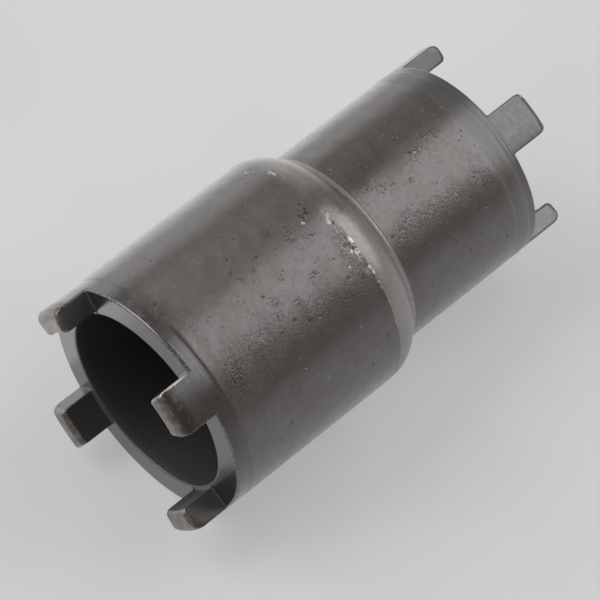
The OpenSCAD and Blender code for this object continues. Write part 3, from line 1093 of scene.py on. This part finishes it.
def make_floor():
    """A pale floor that shows part of its colour as the background and keeps the object's shadow."""
    half = FLOOR_SIDE / 2 / MM
    corners = [(-half, -half, 0), (half, -half, 0), (half, half, 0), (-half, half, 0)]
    floor = mesh_object("floor", corners, [(0, 1, 2, 3)])
    s = Shader("pale_floor")
    cloud = s.range(s.noise(s.place(), *FLOOR_CLOUDS), *FLOOR_LIMITS)
    colour = s.blend(cloud, FLOOR_COLOUR, FLOOR_SHADE)
    s.join(colour, s.surface.inputs["Base Color"])
    s.surface.inputs["Roughness"].default_value = FLOOR_ROUGH
    s.surface.inputs["Specular IOR Level"].default_value = FLOOR_SPECULAR
    path = s.add("LightPath").outputs
    seen = s.math("MAXIMUM", path["Is Camera Ray"], path["Is Glossy Ray"])
    seen = s.math("MAXIMUM", seen, path["Is Transmission Ray"])
    glow = s.add("Emission")
    s.join(colour, glow.inputs["Color"])
    mixed = s.add("MixShader")
    s.join(s.math("MULTIPLY", seen, FLOOR_GLOW), mixed.inputs["Fac"])
    s.join(s.surface.outputs[0], mixed.inputs[1])
    s.join(glow.outputs[0], mixed.inputs[2])
    s.join(mixed.outputs[0], s.output.inputs["Surface"])
    floor.data.materials.append(s.material)


def turned_to(place, right, up, back):
    """Matrix that puts an object at a place, with its own axes along three directions."""
    return Matrix.Translation(place) @ Matrix((right, up, back)).transposed().to_4x4()


def make_light(name, place, aim, size, radiance, shape="RECTANGLE", along=(1, 0, 0), colour=(1, 1, 1)):
    """A soft box at a place in metres that faces a point, with its length along a direction."""
    data = bpy.data.lights.new(name, "AREA")
    data.shape, data.color = shape, colour
    data.size, data.size_y = size
    area = size[0] * size[1] * (math.pi / 4 if shape == "ELLIPSE" else 1)
    data.energy = radiance * area * math.pi
    out = (Vector(place) - Vector(aim)).normalized()
    side = (Vector(along) - out * out.dot(Vector(along))).normalized()
    lamp = bpy.data.objects.new(name, data)
    lamp.matrix_world = turned_to(place, side, out.cross(side), out)
    lamp.visible_camera = False
    bpy.context.scene.collection.objects.link(lamp)


def make_world():
    """An even, slightly warm light from all round."""
    world = bpy.data.worlds.new("studio")
    world.use_nodes = True
    background = world.node_tree.nodes["Background"]
    background.inputs["Color"].default_value = WORLD_COLOUR
    background.inputs["Strength"].default_value = WORLD_STRENGTH
    bpy.context.scene.world = world


# The photograph's view: picture width and focal length in pixels, and the width of the sensor
PICTURE, FOCAL_PX, SENSOR = 600, 4054.0, 36.0
# How far away the middle of the large face is, and where it shows in the picture
FACE_DISTANCE = 465.0
FACE_PX = (145.87, 400.74)
VIEW_AZIMUTH, VIEW_ELEVATION = math.radians(-43.87), math.radians(53.85)
# Nearest and farthest that the camera sees, in metres
CLIP_START, CLIP_END = 0.01, 20


def make_camera():
    """The photograph's camera."""
    a, e = VIEW_AZIMUTH, VIEW_ELEVATION
    right = Vector((math.cos(a), math.sin(a), 0))
    back = Vector((math.sin(a) * math.cos(e), -math.cos(a) * math.cos(e), math.sin(e)))
    up = back.cross(right)
    scale = FACE_DISTANCE / FOCAL_PX
    across, down = ((p - PICTURE / 2) * scale for p in FACE_PX)
    place = Vector((LARGE.face_x, 0, AXIS_Z)) - right * across + up * down + back * FACE_DISTANCE
    data = bpy.data.cameras.new("camera")
    data.sensor_width = SENSOR
    data.lens = SENSOR * FOCAL_PX / PICTURE
    data.clip_start, data.clip_end = CLIP_START, CLIP_END
    camera = bpy.data.objects.new("camera", data)
    camera.matrix_world = turned_to(place * MM, right, up, back)
    bpy.context.scene.collection.objects.link(camera)
    bpy.context.scene.camera = camera


def make_studio():
    """Floor, world and lights, with places and sizes in metres."""
    make_floor()
    make_world()
    make_light(
        "overhead",
        place=(0.215, -0.118, 0.235),
        aim=(0.1, -0.045, 0),
        size=(0.38, 0.30),
        radiance=1.62,
        shape="ELLIPSE",
        along=(0.55, -0.83, 0),
        colour=COOL,
    )
    make_light(
        "ceiling",
        place=(-0.04, 0.165, 0.215),
        aim=(-0.04, 0.115, 0.0),
        size=(0.28, 0.23),
        radiance=0.69,
        along=(0.97, -0.23, 0),
        colour=COOL,
    )
    make_light("window", place=(-0.5, 0.5, 0.7), aim=MIDDLE, size=(0.8, 0.8), radiance=2.6)
    make_light("backdrop", place=(0.0, 0.75, 0.12), aim=MIDDLE, size=(1.4, 0.35), radiance=0.73, colour=COLD)
    make_light("bounce", place=(0.0, 0.062, 0.001), aim=(0.0, 0.062, 1.0), size=(0.20, 0.088), radiance=0.36)
    bpy.context.scene.view_settings.view_transform = "Standard"


large = tube_piece("large_socket_tube", LARGE, large_profile(), LARGE_GROOVES, LARGE_MARKS, LARGE_SEED)
small = tube_piece("small_socket_tube", SMALL, small_profile(), SMALL_GROOVES, SMALL_MARKS, SMALL_SEED)
bead = bead_piece()
plate = plate_piece()
finish = tube_finish("blackened_steel")
dress(large, finish)
dress(small, finish)
bead_steel = plain_finish("bead_steel", BEAD_GREY, BEAD_DARK, SATIN_METALLIC, BEAD_ROUGH, SATIN_COAT)
plate_steel = plain_finish("plate_steel", PLATE_GREY, PLATE_DARK, STEEL_METALLIC, PLATE_ROUGH, OIL_COAT)
dress(bead, bead_steel)
dress(plate, plate_steel)
make_camera()
make_studio()
